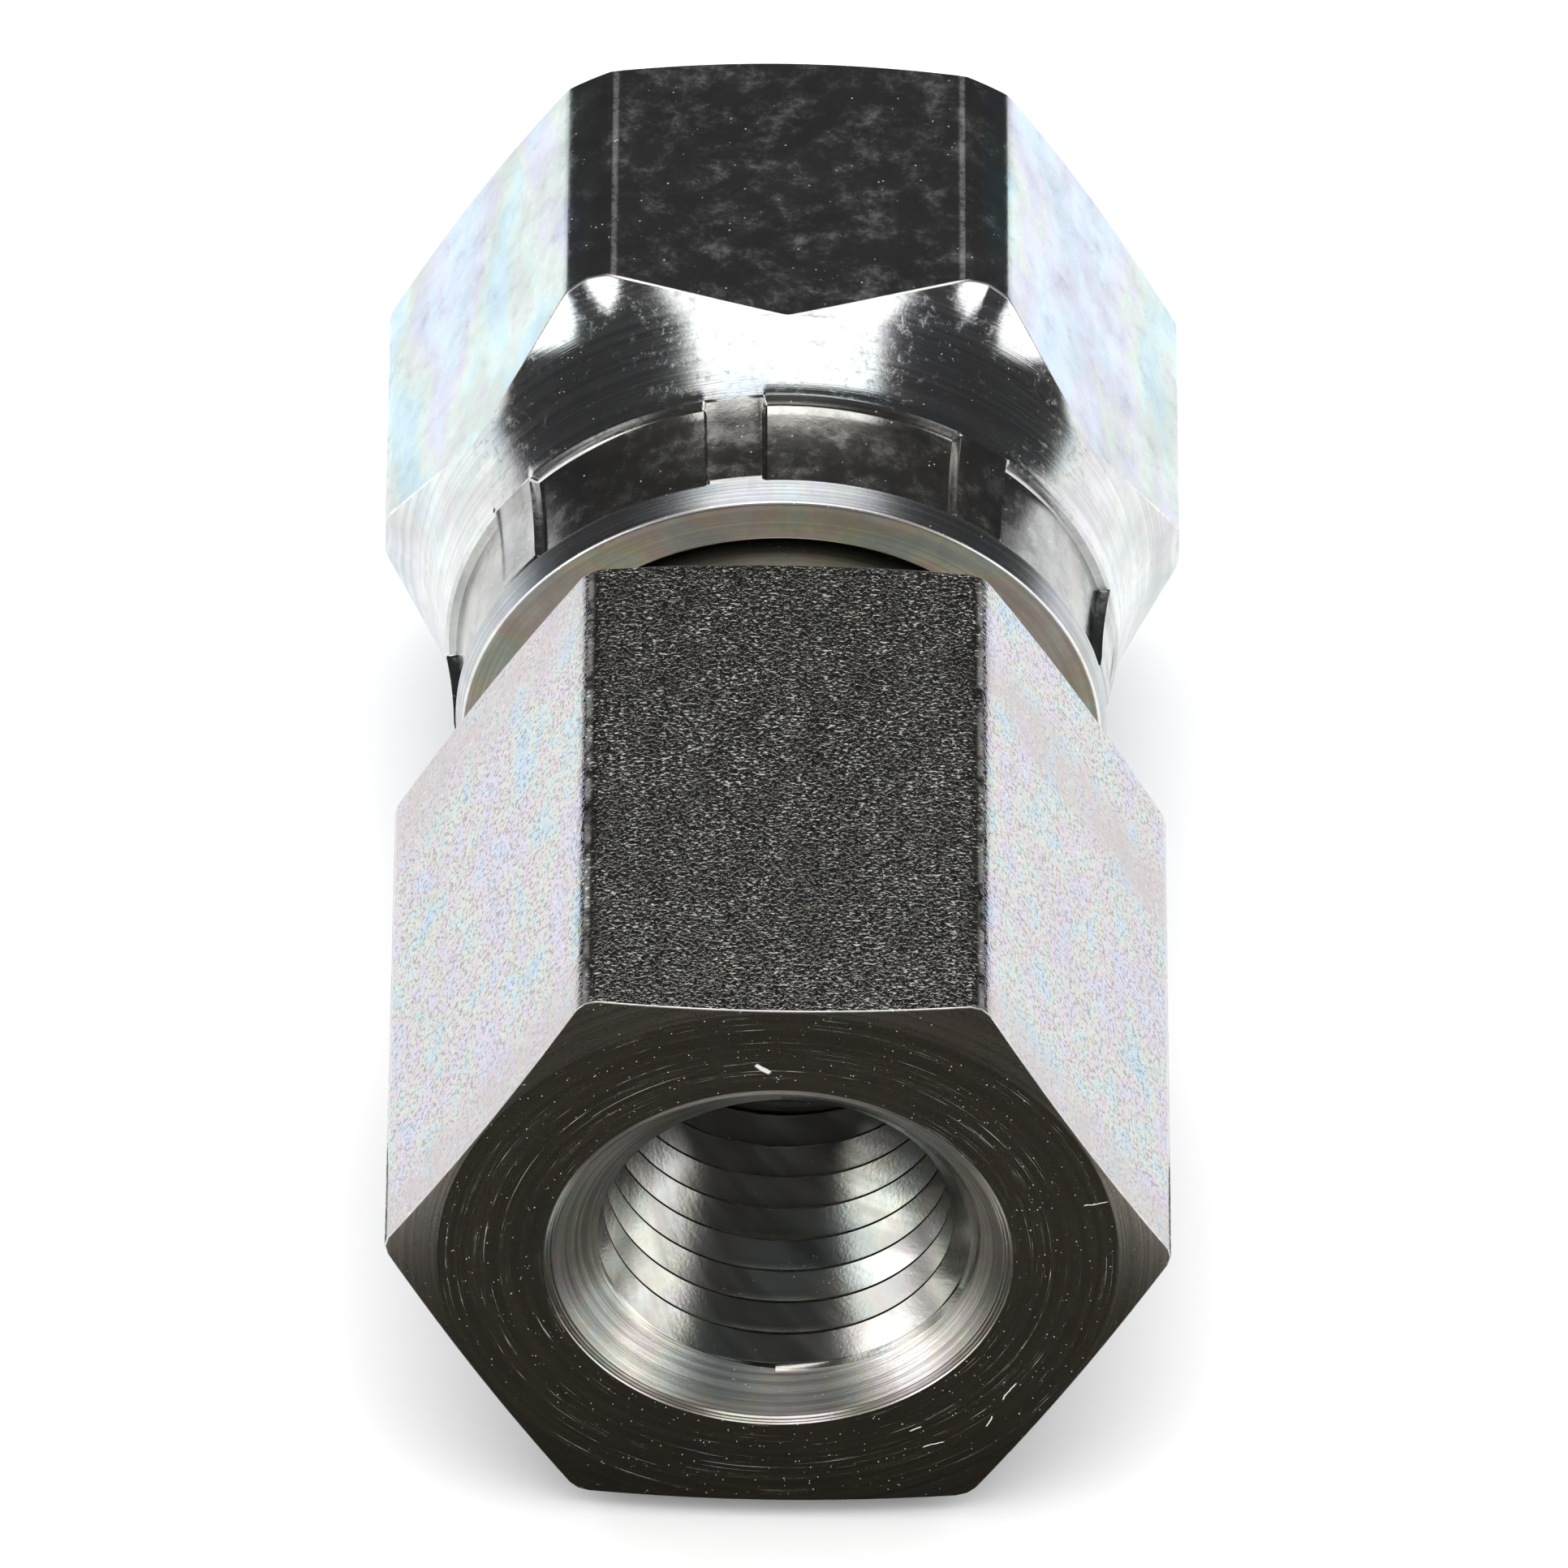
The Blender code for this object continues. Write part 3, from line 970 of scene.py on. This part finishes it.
@dataclass
class HexBody(Piece):
    """The body: drawn hexagon, threaded port, neck, collar and nose. Stations count from its port."""

    SAME_RADIUS = 1e-6  # radii nearer than this are the same
    MOST = 0.5  # share of a row from which it belongs to the countersink
    # Rows round the rim, from the cone outwards: share of the ring's width, and depth
    RIM_ROWS = ((0.0, 0.13), (0.18, 0.145), (0.3, 0.075), (0.55, 0.10), (0.65, 0.03), (0.88, 0.055))

    hex_length: float = 21.0
    face_land: float = 0.10
    chamfer_slope: float = math.tan(math.radians(12))
    port_crest: float = 5.74
    port_depth: float = 14.5
    thread_depth: float = 0.66
    thread_taper: float = 1 / 40
    thread_start: float = 0.16
    thread_rest: float = 0.6  # plain bore under the thread
    mouth_radius: float = 7.3
    mouth_depth: float = 1.25
    mouth_ring: float = 0.30
    cone_start: float = 0.13
    waterway: float = 4.0
    drill_slope: float = math.tan(math.radians(31))
    neck: float = 8.576
    collar: float = 9.446
    nose: float = 6.996
    nose_tip: float = 4.9
    collar_back: float = 26.544
    collar_full: float = 27.414
    collar_front: float = 30.014
    nose_shoulder: float = 31.614
    key_clear: float = math.radians(0.6)
    rim_round: float = 0.03
    edge_round: float = 0.05
    bore_round: float = 0.08
    stem_round: float = 0.1
    collar_round: float = 0.15
    neck_fillet: float = 0.25

    def outline(self) -> Outline:
        """The body's outline, from the rim of its port round the outside and back through the bore.

        Returns:
            The outline, which closes on itself.
        """
        bar = HexagonBar(self.high.z, self.high.x)
        angles = column_angles(self.steps, bar.key_angles(), self.key_clear)
        side = bar.radius(angles)
        face = self.high.z - self.face_land
        chamfer = (side - face) * self.chamfer_slope
        tip = self.high.y - self.low.y
        out = Outline(angles)
        out.corner(self.mouth_radius + self.mouth_ring, 0.0, Zone.FACE, self.rim_round)
        out.corner(face, 0.0, Zone.CHAMFER, self.edge_round)
        out.corner(side, chamfer, Zone.FLATS, self.edge_round, Zone.EDGE)
        out.corner(side, self.hex_length - chamfer, Zone.CHAMFER, self.edge_round, Zone.EDGE)
        out.corner(face, self.hex_length, Zone.CHAMFER, self.edge_round)
        out.corner(self.neck, self.hex_length, Zone.STEM, self.neck_fillet)
        out.corner(self.neck, self.collar_back, Zone.STEM, self.stem_round)
        out.corner(self.collar, self.collar_full, Zone.STEM, self.stem_round)
        out.corner(self.collar, self.collar_front, Zone.STEM, self.collar_round)
        out.corner(self.nose, self.collar_front, Zone.STEM, self.stem_round)
        out.corner(self.nose, self.nose_shoulder, Zone.STEM, self.stem_round)
        out.corner(self.nose_tip, tip, Zone.STEM, self.bore_round)
        out.corner(self.waterway, tip, Zone.STEM, self.bore_round)
        foot = self.port_crest - self.thread_taper * self.port_depth
        bottom = self.port_depth + (foot - self.waterway) * self.drill_slope
        out.corner(self.waterway, bottom, Zone.THREAD, self.bore_round)
        out.corner(foot, self.port_depth, Zone.THREAD, self.stem_round)
        self._add_port(out)
        return out

    def _add_port(self, out: Outline) -> None:
        """Adds the thread from the bottom of the port up to its countersink and the rim's fine rings.

        Args:
            out: The outline, which ends at the bottom of the port.
        """
        thread = PipeThread(
            self.port_crest,
            self.thread_depth,
            self.thread_start,
            self.port_depth - self.thread_rest,
            taper=self.thread_taper,
        )
        cut, stations = (rows[::-1] for rows in thread.surface(out.angles))
        slope = (self.mouth_radius - self.port_crest) / self.mouth_depth
        cone = self.mouth_radius - (stations - self.cone_start) * slope
        for radius, station, wall in zip(np.maximum(cut, cone), stations, cut):
            coned = (radius > wall + self.SAME_RADIUS).mean() > self.MOST
            out.corner(radius, station, Zone.COUNTERSINK if coned else Zone.THREAD)
        for share, station in self.RIM_ROWS:
            out.corner(self.mouth_radius + share * self.mouth_ring, station, Zone.COUNTERSINK)


@dataclass
class SwivelNut(Piece):
    """The swivel nut: milled hexagon, fillet, crimped skirt and threaded port.

    Stations count from its back, where the lip holds the collar.
    """

    # Columns at a facet's side, in widths of its wall inwards of it
    WALL_STEPS = (-1.6, -1.0, -0.6, -0.3, 0.0, 0.5, 1.2)
    # Rows at a facet's upper end: distance from it, and share of the ridge or of the depth
    RIDGE_ROWS = ((0.30, 0.25), (0.18, 0.7), (0.08, 1.0), (0.02, 1.0))
    SUNK_ROWS = ((0.03, 0.25), (0.08, 0.7), (0.14, 0.95), (0.20, 1.0))
    # Rows at its lower end: distance from the band
    FOOT_ROWS = (0.16, 0.10)
    # Phases of the wave that sets each jaw's own depth: from jaw to jaw, and at the first
    JAW_WAVE = (2.4, 0.7)

    face_land: float = 0.20
    chamfer_slope: float = math.tan(math.radians(20))
    skirt_step: float = 0.03
    skirt_length: float = 7.65
    skirt_rows: int = 12
    skirt_clear: float = 0.35  # between the skirt's rows and the facets
    edge_tip: float = 0.09
    edge_slope: float = 0.315
    edge_point: float = 0.08
    fillet_hold: float = 0.55
    fillet_rows: int = 9
    lip_bore: float = 8.956
    lip_radius: float = 10.80
    lip_length: float = 2.0
    band: float = 0.95
    band_fall: float = 0.22
    cavity: float = 9.746
    shoulder: float = 5.814
    mouth_step: float = 0.9
    thread_crest: float = 7.796
    thread_depth: float = 0.95
    thread_rows: int = 3
    thread_run_in: float = 2.0
    thread_run_out: float = 0.3
    thread_start: float = 0.5  # plain bore over the shoulder
    thread_rest: float = 0.1  # and at the mouth
    jaws: int = 8
    jaw_angle: float = math.radians(35.5)
    jaw_first: float = math.radians(13.5)
    crimp_length: float = 3.65
    crimp_depth: float = 0.30
    crimp_spread: float = 0.10  # how much the depth differs from jaw to jaw
    facet_clear: float = 0.40  # what the facet's even rows leave to those at its ends
    rib_radius: float = 10.846  # where the ribs end at the band
    wall: float = 0.16
    lip_ridge: float = 0.035
    ridge_width: float = 0.9  # in widths of the wall
    edge_blend: float = 0.05
    edge_angle: float = math.radians(0.45)
    key_clear: float = math.radians(0.5)
    band_round: float = 0.05
    mouth_round: float = 0.06
    edge_round: float = 0.08
    inner_round: float = 0.1
    lip_round: float = 0.11
    bore_round: float = 0.12
    fillet_round: float = 0.14

    def _wall_angle(self) -> float:
        """The angle that a facet's side wall takes up."""
        return self.wall / self.lip_radius

    def _jaw_keys(self) -> list[float]:
        """The angles at which the facets need columns.

        Returns:
            Angles at both sides of every facet.
        """
        found = []
        for jaw in range(self.jaws):
            middle = self.jaw_first + jaw * FULL_TURN / self.jaws
            for side in (-1, 1):
                for step in self.WALL_STEPS:
                    found.append(middle + side * (self.jaw_angle / 2 + step * self._wall_angle()))
        return found

    def _pressed(self, angles: np.ndarray) -> tuple[np.ndarray, np.ndarray]:
        """How far each column is pressed in, from 0 to 1, and how near it lies to a facet's side.

        Args:
            angles: The columns' angles.

        Returns:
            The share pressed in, and the share of the ridge thrown up beside the wall.
        """
        offset = np.abs(off_middle(angles - self.jaw_first, FULL_TURN / self.jaws))
        inside = self.jaw_angle / 2 - offset
        pressed = smooth_step(inside, 0.0, self._wall_angle())
        ridge = np.exp(-((inside / (self.ridge_width * self._wall_angle())) ** 2)) * (1 - pressed)
        return pressed, ridge

    def _depths(self, angles: np.ndarray) -> np.ndarray:
        """The depth of the facet at each column, which differs a little from jaw to jaw."""
        jaw = np.round((angles - self.jaw_first) / (FULL_TURN / self.jaws)) % self.jaws
        return self.crimp_depth * (1 + self.crimp_spread * np.sin(jaw * self.JAW_WAVE[0] + self.JAW_WAVE[1]))

    def outline(self) -> Outline:
        """The nut's outline, from the rim of its port round the outside and back through the bore.

        Returns:
            The outline, which closes on itself.
        """
        bar = HexagonBar(self.high.z, self.high.x, self.edge_blend, self.edge_angle)
        angles = column_angles(self.steps, bar.key_angles() + self._jaw_keys(), self.key_clear)
        side = bar.radius(angles)
        face = self.high.z - self.face_land
        skirt = self.high.z - self.skirt_step
        length = self.high.y - self.low.y
        chamfer = (side - face) * self.chamfer_slope
        out = Outline(angles)
        out.corner(self.thread_crest + self.mouth_step, length, Zone.LIP_FACE, self.mouth_round)
        out.corner(face, length, Zone.CHAMFER, self.edge_round)
        out.corner(side, length - chamfer, Zone.FLATS, self.edge_round, Zone.EDGE)
        self._add_fillet(out, side, skirt)
        self._add_skirt(out, skirt)
        out.corner(self.lip_radius - self.band_fall, 0.0, Zone.LIP_FACE, self.lip_round, Zone.EDGE)
        out.corner(self.lip_bore, 0.0, Zone.STEM, self.bore_round)
        out.corner(self.lip_bore, self.lip_length, Zone.STEM, self.inner_round)
        out.corner(self.cavity, self.lip_length + self.cavity - self.lip_bore, Zone.STEM, self.inner_round)
        out.corner(self.cavity, self.shoulder, Zone.STEM, self.inner_round)
        out.corner(self.thread_crest, self.shoulder, Zone.THREAD, self.inner_round)
        self._add_thread(out, length)
        return out

    def _add_thread(self, out: Outline, length: float) -> None:
        """Adds the thread, from the shoulder up to its countersink.

        Args:
            out: The outline, which ends at the shoulder.
            length: The nut's length.
        """
        thread = PipeThread(
            self.thread_crest,
            self.thread_depth,
            self.shoulder + self.thread_start,
            length - self.thread_rest,
            flank_rows=self.thread_rows,
            run_in=self.thread_run_in,
            run_out=self.thread_run_out,
        )
        cut, stations = thread.surface(out.angles)
        cone = self.thread_crest + self.mouth_step - (length - stations)
        out.rows(np.maximum(cut, cone), stations, Zone.THREAD)

    def _add_fillet(self, out: Outline, side: np.ndarray, skirt: float) -> None:
        """Adds the turned fillet, whose cut with each flat is an edge that comes to a point in the middle.

        Args:
            out: The outline, which ends at the port's chamfer.
            side: The hexagon's radius at each column.
            skirt: The skirt's radius.
        """
        lean = 2 * (skirt - self.rib_radius) / (self.skirt_length - self.band)
        across = side * np.sin(off_middle(out.angles, FLAT_PITCH))
        rise = self.edge_tip + self.edge_slope * (np.hypot(across, self.edge_point) - self.edge_point)
        hold = self.fillet_hold * rise
        steep = np.minimum(lean, (side - skirt) / rise)
        for row in range(self.fillet_rows, -1, -1):
            share = row / self.fillet_rows
            radius = skirt + 2 * share * (1 - share) * hold * steep + share**2 * (side - skirt)
            station = self.skirt_length + 2 * share * (1 - share) * hold + share**2 * rise
            if row == self.fillet_rows:
                out.corner(radius, station, Zone.SKIRT, self.fillet_round, Zone.EDGE)
            else:
                out.corner(radius, station, Zone.SKIRT)

    def _add_skirt(self, out: Outline, skirt: float) -> None:
        """Adds the drawn-in skirt, the facets with their ribs, and the band at its end.

        Args:
            out: The outline, which ends with the fillet.
            skirt: The skirt's radius at the fillet.
        """
        run = self.skirt_length - self.band
        pressed, ridge = self._pressed(out.angles)
        sunk = self._depths(out.angles) * pressed
        top = self.band + self.crimp_length

        def drawn(station: float) -> float:
            """The skirt's radius before the jaws' facets."""
            return self.rib_radius + (skirt - self.rib_radius) * ((station - self.band) / run) ** 2

        for row in range(self.skirt_rows - 1, 0, -1):
            plain = run - self.crimp_length - self.skirt_clear
            station = top + self.skirt_clear + plain * row / self.skirt_rows
            out.corner(drawn(station), station, Zone.SKIRT)
        for rise, share in self.RIDGE_ROWS:
            out.corner(drawn(top + rise) + self.lip_ridge * share * pressed, top + rise, Zone.SKIRT)
        for fall, share in self.SUNK_ROWS:
            out.corner(drawn(top - fall) - (sunk * share - self.lip_ridge * ridge), top - fall, Zone.FACET)
        for row in range(self.skirt_rows - 1, 0, -1):
            even = (self.crimp_length - self.facet_clear) * row / self.skirt_rows
            station = self.band + self.FOOT_ROWS[0] + even
            out.corner(drawn(station) - sunk + self.lip_ridge * ridge, station, Zone.FACET)
        for rise in self.FOOT_ROWS:
            station = self.band + rise
            out.corner(drawn(station) - sunk, station, Zone.FACET)
        out.corner(self.lip_radius, self.band, Zone.BAND, self.band_round, Zone.BAND)


# ---------------------------------------------------------------------------------------------
# Studio


@dataclass(frozen=True)
class SoftBox:
    """A soft light panel. Sizes and places are in metres, aimed at the middle of the union."""

    name: str
    place: tuple[float, float, float]
    size: tuple[float, float]
    radiance: float

    def build(self, aim: Vector) -> bpy.types.Object:
        """Makes the light.

        Args:
            aim: The point that the panel faces.

        Returns:
            The light's object.
        """
        light = bpy.data.lights.new(self.name, "AREA")
        light.shape = "RECTANGLE"
        light.size, light.size_y = self.size
        light.energy = self.radiance * math.pi * self.size[0] * self.size[1]
        lamp = bpy.data.objects.new(self.name, light)
        lamp.location = self.place
        lamp.rotation_euler = (aim - Vector(self.place)).to_track_quat("-Z", "Y").to_euler()
        lamp.visible_camera = False
        bpy.context.scene.collection.objects.link(lamp)
        LOG.info("light %s", self.name)
        return lamp


@dataclass(frozen=True)
class Card:
    """A dark card before the port, which only mirrored rays see. Sizes are in metres."""

    name: str
    half_width: float
    near: float
    far: float


@dataclass(frozen=True)
class Studio:
    """The pale floor, the soft light, the dark cards and the camera."""

    elevation: float = math.radians(43.5)
    distance: float = 0.720
    lens: float = 500.4
    sensor: float = 36.0
    clip: tuple[float, float] = (0.05, 20.0)
    axis_turn: float = math.radians(-0.68)
    roll: float = math.radians(0.34)
    aim: tuple[float, float, float] = (0.107 * MM, -0.407 * MM, 0.0)
    aim_up: float = 0.2 * MM
    floor_size: float = 6.0
    floor_shade: float = 0.86
    floor_drop: float = 0.02 * MM
    card_rise: float = 0.05 * MM
    card_colour: Colour = (0.03, 0.028, 0.024)
    paint_roughness: float = 0.9
    room: float = 1.0  # the world's brightness for the eye and the floor
    mirrored_room: float = 0.05  # and where the metal mirrors it
    boxes: tuple[SoftBox, ...] = (
        SoftBox("overhead_softbox", (0.0, 0.0, 0.55), (0.56, 0.66), 2.2),
        SoftBox("left_softbox", (-0.66, -0.37, 0.22), (0.58, 0.42), 2.8),
        SoftBox("right_softbox", (0.68, -0.33, 0.22), (0.58, 0.42), 2.2),
        SoftBox("front_softbox", (0.0, -0.76, 0.25), (0.26, 0.30), 0.55),
    )
    cards: tuple[Card, ...] = (
        Card("near_card", 0.020, -0.005, -0.045),
        Card("far_card", 0.12, -0.045, -0.30),
    )

    def paint(self, name: str, colour: Colour) -> bpy.types.Material:
        """A plain dull paint for what isn't part of the object."""
        rough = self.paint_roughness
        return Graph(name).finish(Base_Color=(*colour, 1), Roughness=rough, Specular_IOR_Level=0.0)

    def panel(self, name: str, low: Vector, high: Vector, paint: bpy.types.Material) -> bpy.types.Object:
        """A level sheet between two corners.

        Args:
            name: The object's name.
            low: Its lowest corner.
            high: Its highest corner, at the same height.
            paint: What it is painted with.

        Returns:
            The sheet.
        """
        mesh = bpy.data.meshes.new(name)
        places = ((low.x, low.y), (high.x, low.y), (high.x, high.y), (low.x, high.y))
        mesh.from_pydata([(x, y, low.z) for x, y in places], [], [(0, 1, 2, 3)])
        mesh.materials.append(paint)
        sheet = bpy.data.objects.new(name, mesh)
        bpy.context.scene.collection.objects.link(sheet)
        return sheet

    def build_floor(self, lowest: float) -> None:
        """Lays the floor under the union, and the dark cards that its port face mirrors.

        Args:
            lowest: The height of the union's lowest point.
        """
        half, level = self.floor_size / 2, lowest - self.floor_drop
        paint = self.paint("floor_paint", (self.floor_shade,) * 3)
        self.panel("floor", Vector((-half, -half, level)), Vector((half, half, level)), paint)
        for card in self.cards:
            low = Vector((-card.half_width, card.far, lowest + self.card_rise))
            high = Vector((card.half_width, card.near, low.z))
            sheet = self.panel(card.name, low, high, self.paint(card.name, self.card_colour))
            sheet.visible_camera = sheet.visible_diffuse = sheet.visible_shadow = False
            sheet.visible_transmission = False

    def build_world(self) -> None:
        """Lights the room: pale for the eye and the floor, dim where the metal mirrors it."""
        world = bpy.data.worlds.new("studio_world")
        world.use_nodes = True
        tree = world.node_tree
        path = tree.nodes.new("ShaderNodeLightPath")
        mix = tree.nodes.new("ShaderNodeMix")
        mix.data_type = "RGBA"
        mix.inputs[6].default_value = (self.room,) * 3 + (1,)
        mix.inputs[7].default_value = (self.mirrored_room,) * 3 + (1,)
        tree.links.new(path.outputs["Is Glossy Ray"], mix.inputs[0])
        tree.links.new(mix.outputs[2], tree.nodes["Background"].inputs[0])
        bpy.context.scene.world = world

    def build_camera(self) -> None:
        """Sets the camera at its angle over the union."""
        rise = Vector((0, math.sin(self.elevation), math.cos(self.elevation)))
        back = Vector((0, -math.cos(self.elevation), math.sin(self.elevation)))
        place = Vector(self.aim) + rise * self.aim_up + back * self.distance
        tilt = Matrix.Rotation(math.pi / 2 - self.elevation, 4, "X")
        turn = Matrix.Rotation(self.axis_turn, 4, "Y")
        camera = bpy.data.cameras.new("studio_camera")
        camera.lens = self.lens
        camera.sensor_width = self.sensor
        camera.clip_start, camera.clip_end = self.clip
        eye = bpy.data.objects.new("studio_camera", camera)
        bpy.context.scene.collection.objects.link(eye)
        eye.matrix_world = turn @ Matrix.Translation(place) @ tilt @ Matrix.Rotation(self.roll, 4, "Z")
        bpy.context.scene.camera = eye

    def build(self, lowest: float) -> None:
        """Builds the whole studio.

        Args:
            lowest: The height of the union's lowest point.
        """
        bpy.context.scene.view_settings.view_transform = "Standard"
        self.build_floor(lowest)
        for box in self.boxes:
            box.build(Vector((0, 0, 0)))
        self.build_world()
        self.build_camera()
        LOG.info("studio built")


PORT_MARKS = (
    Mark(-0.62, 8.55, -38.0, 0.34, 0.11),
    Mark(7.6, -5.9, 62.0, 0.5, 0.03),
    Mark(5.2, -8.4, 20.0, 0.42, 0.03),
    Mark(7.0, -7.3, 70.0, 0.3, 0.03),
    Mark(4.6, -7.7, 30.0, 0.25, 0.03),
    Mark(10.2, 2.7, 15.0, 0.45, 0.025),
)
BODY_FINISHES: dict[Zone, Finish] = {
    # The drawn bar's top and bottom flats carry painted shade in a darker colour of their own.
    Zone.FLATS: DrawnPlating("drawn_bar_plating", (0.54, 0.57, 0.65), 0.10),
    Zone.FACE: TurnedPlating(
        "port_face_plating", (0.54, 0.51, 0.44), 0.23, speck_share=0.5, scuff=0.9, marks=PORT_MARKS
    ),
    Zone.CHAMFER: TurnedPlating(
        "bar_chamfer_plating", (0.52, 0.48, 0.43), 0.27, frequency=12.0, scuff=0.10
    ),
    # Wear and painted highlight: the rounded edges are painted far paler than the flats so they read as
    # bright lines, with specks and scuffs.
    Zone.EDGE: TurnedPlating(
        "bar_edge_wear_and_painted_highlight", (0.80, 0.78, 0.76), 0.42, frequency=3.0, depth=9.0, speck_share=0.9, scuff=0.4
    ),
    # Painted light: the countersink is painted far paler than the rest of the port, standing in for the
    # bright light it catches.
    Zone.COUNTERSINK: TurnedPlating(
        "countersink_plating_painted_light", (0.90, 0.89, 0.85), 0.30, depth=9.0, film=0.4, lines=0.7
    ),
    Zone.THREAD: TurnedPlating(
        "port_thread_plating", (0.52, 0.53, 0.50), 0.21, along=1.0, depth=9.0, film=0.35, lines=0.8
    ),
    Zone.STEM: TurnedPlating("stem_plating", (0.55, 0.53, 0.45), 0.30, along=1.0, frequency=7.0),
}
NUT_FINISHES: dict[Zone, Finish] = {
    # Painted shade: the milled flats' top and bottom take a greyer, darker colour than the bluish sides.
    Zone.FLATS: CloudyPlating("milled_flat_plating", (0.56, 0.67, 0.77), 0.14),
    Zone.CHAMFER: TurnedPlating("nut_chamfer_plating", (0.70, 0.70, 0.70), 0.28),
    # Wear and painted highlight: the rounded edges are painted far paler than the flats so they read as
    # bright lines, with specks and scuffs.
    Zone.EDGE: TurnedPlating(
        "nut_edge_wear_and_painted_highlight", (0.85, 0.85, 0.85), 0.35, depth=6.0, speck_share=0.8, scuff=0.3
    ),
    Zone.SKIRT: TurnedPlating(
        "skirt_plating", (0.66, 0.69, 0.71), 0.15, along=1.0, frequency=5.0, depth=4.0, mottle=0.7
    ),
    # Painted shading: the side facets take a darker colour than the top and bottom ones, for how light falls
    # on them.
    Zone.FACET: CloudyPlating(
        "crimp_facet_plating", (0.44, 0.45, 0.44), 0.16, film=0.2, dim=0.7, top_bottom_painted_shading=(0.50, 0.49, 0.46)
    ),
    Zone.BAND: TurnedPlating(
        "lip_band_plating", (0.50, 0.53, 0.56), 0.26, along=1.0, depth=5.0, lines=0.6
    ),
    # Painted light: the lip and mouth faces are painted pale, standing in for the light they catch.
    Zone.LIP_FACE: TurnedPlating("lip_face_plating_painted_light", (0.88, 0.87, 0.80), 0.58, film=0.6, scuff=0.25),
    Zone.STEM: TurnedPlating("nut_bore_plating", (0.55, 0.54, 0.50), 0.32, along=1.0),
    Zone.THREAD: TurnedPlating("nut_thread_plating", (0.64, 0.65, 0.66), 0.28, along=1.0, frequency=8.0),
}


def main() -> None:
    """Builds the pieces and the studio."""
    logging.basicConfig(level=logging.INFO, format="%(message)s")
    HexBody("hexagon_body", "body", "body", "body_plating", BODY_FINISHES).build()
    SwivelNut("crimped_swivel_nut", "swivel_nut", "nut", "nut_plating", NUT_FINISHES).build()
    Studio().build(cad_box[0].z)


if __name__ == "__main__":
    main()
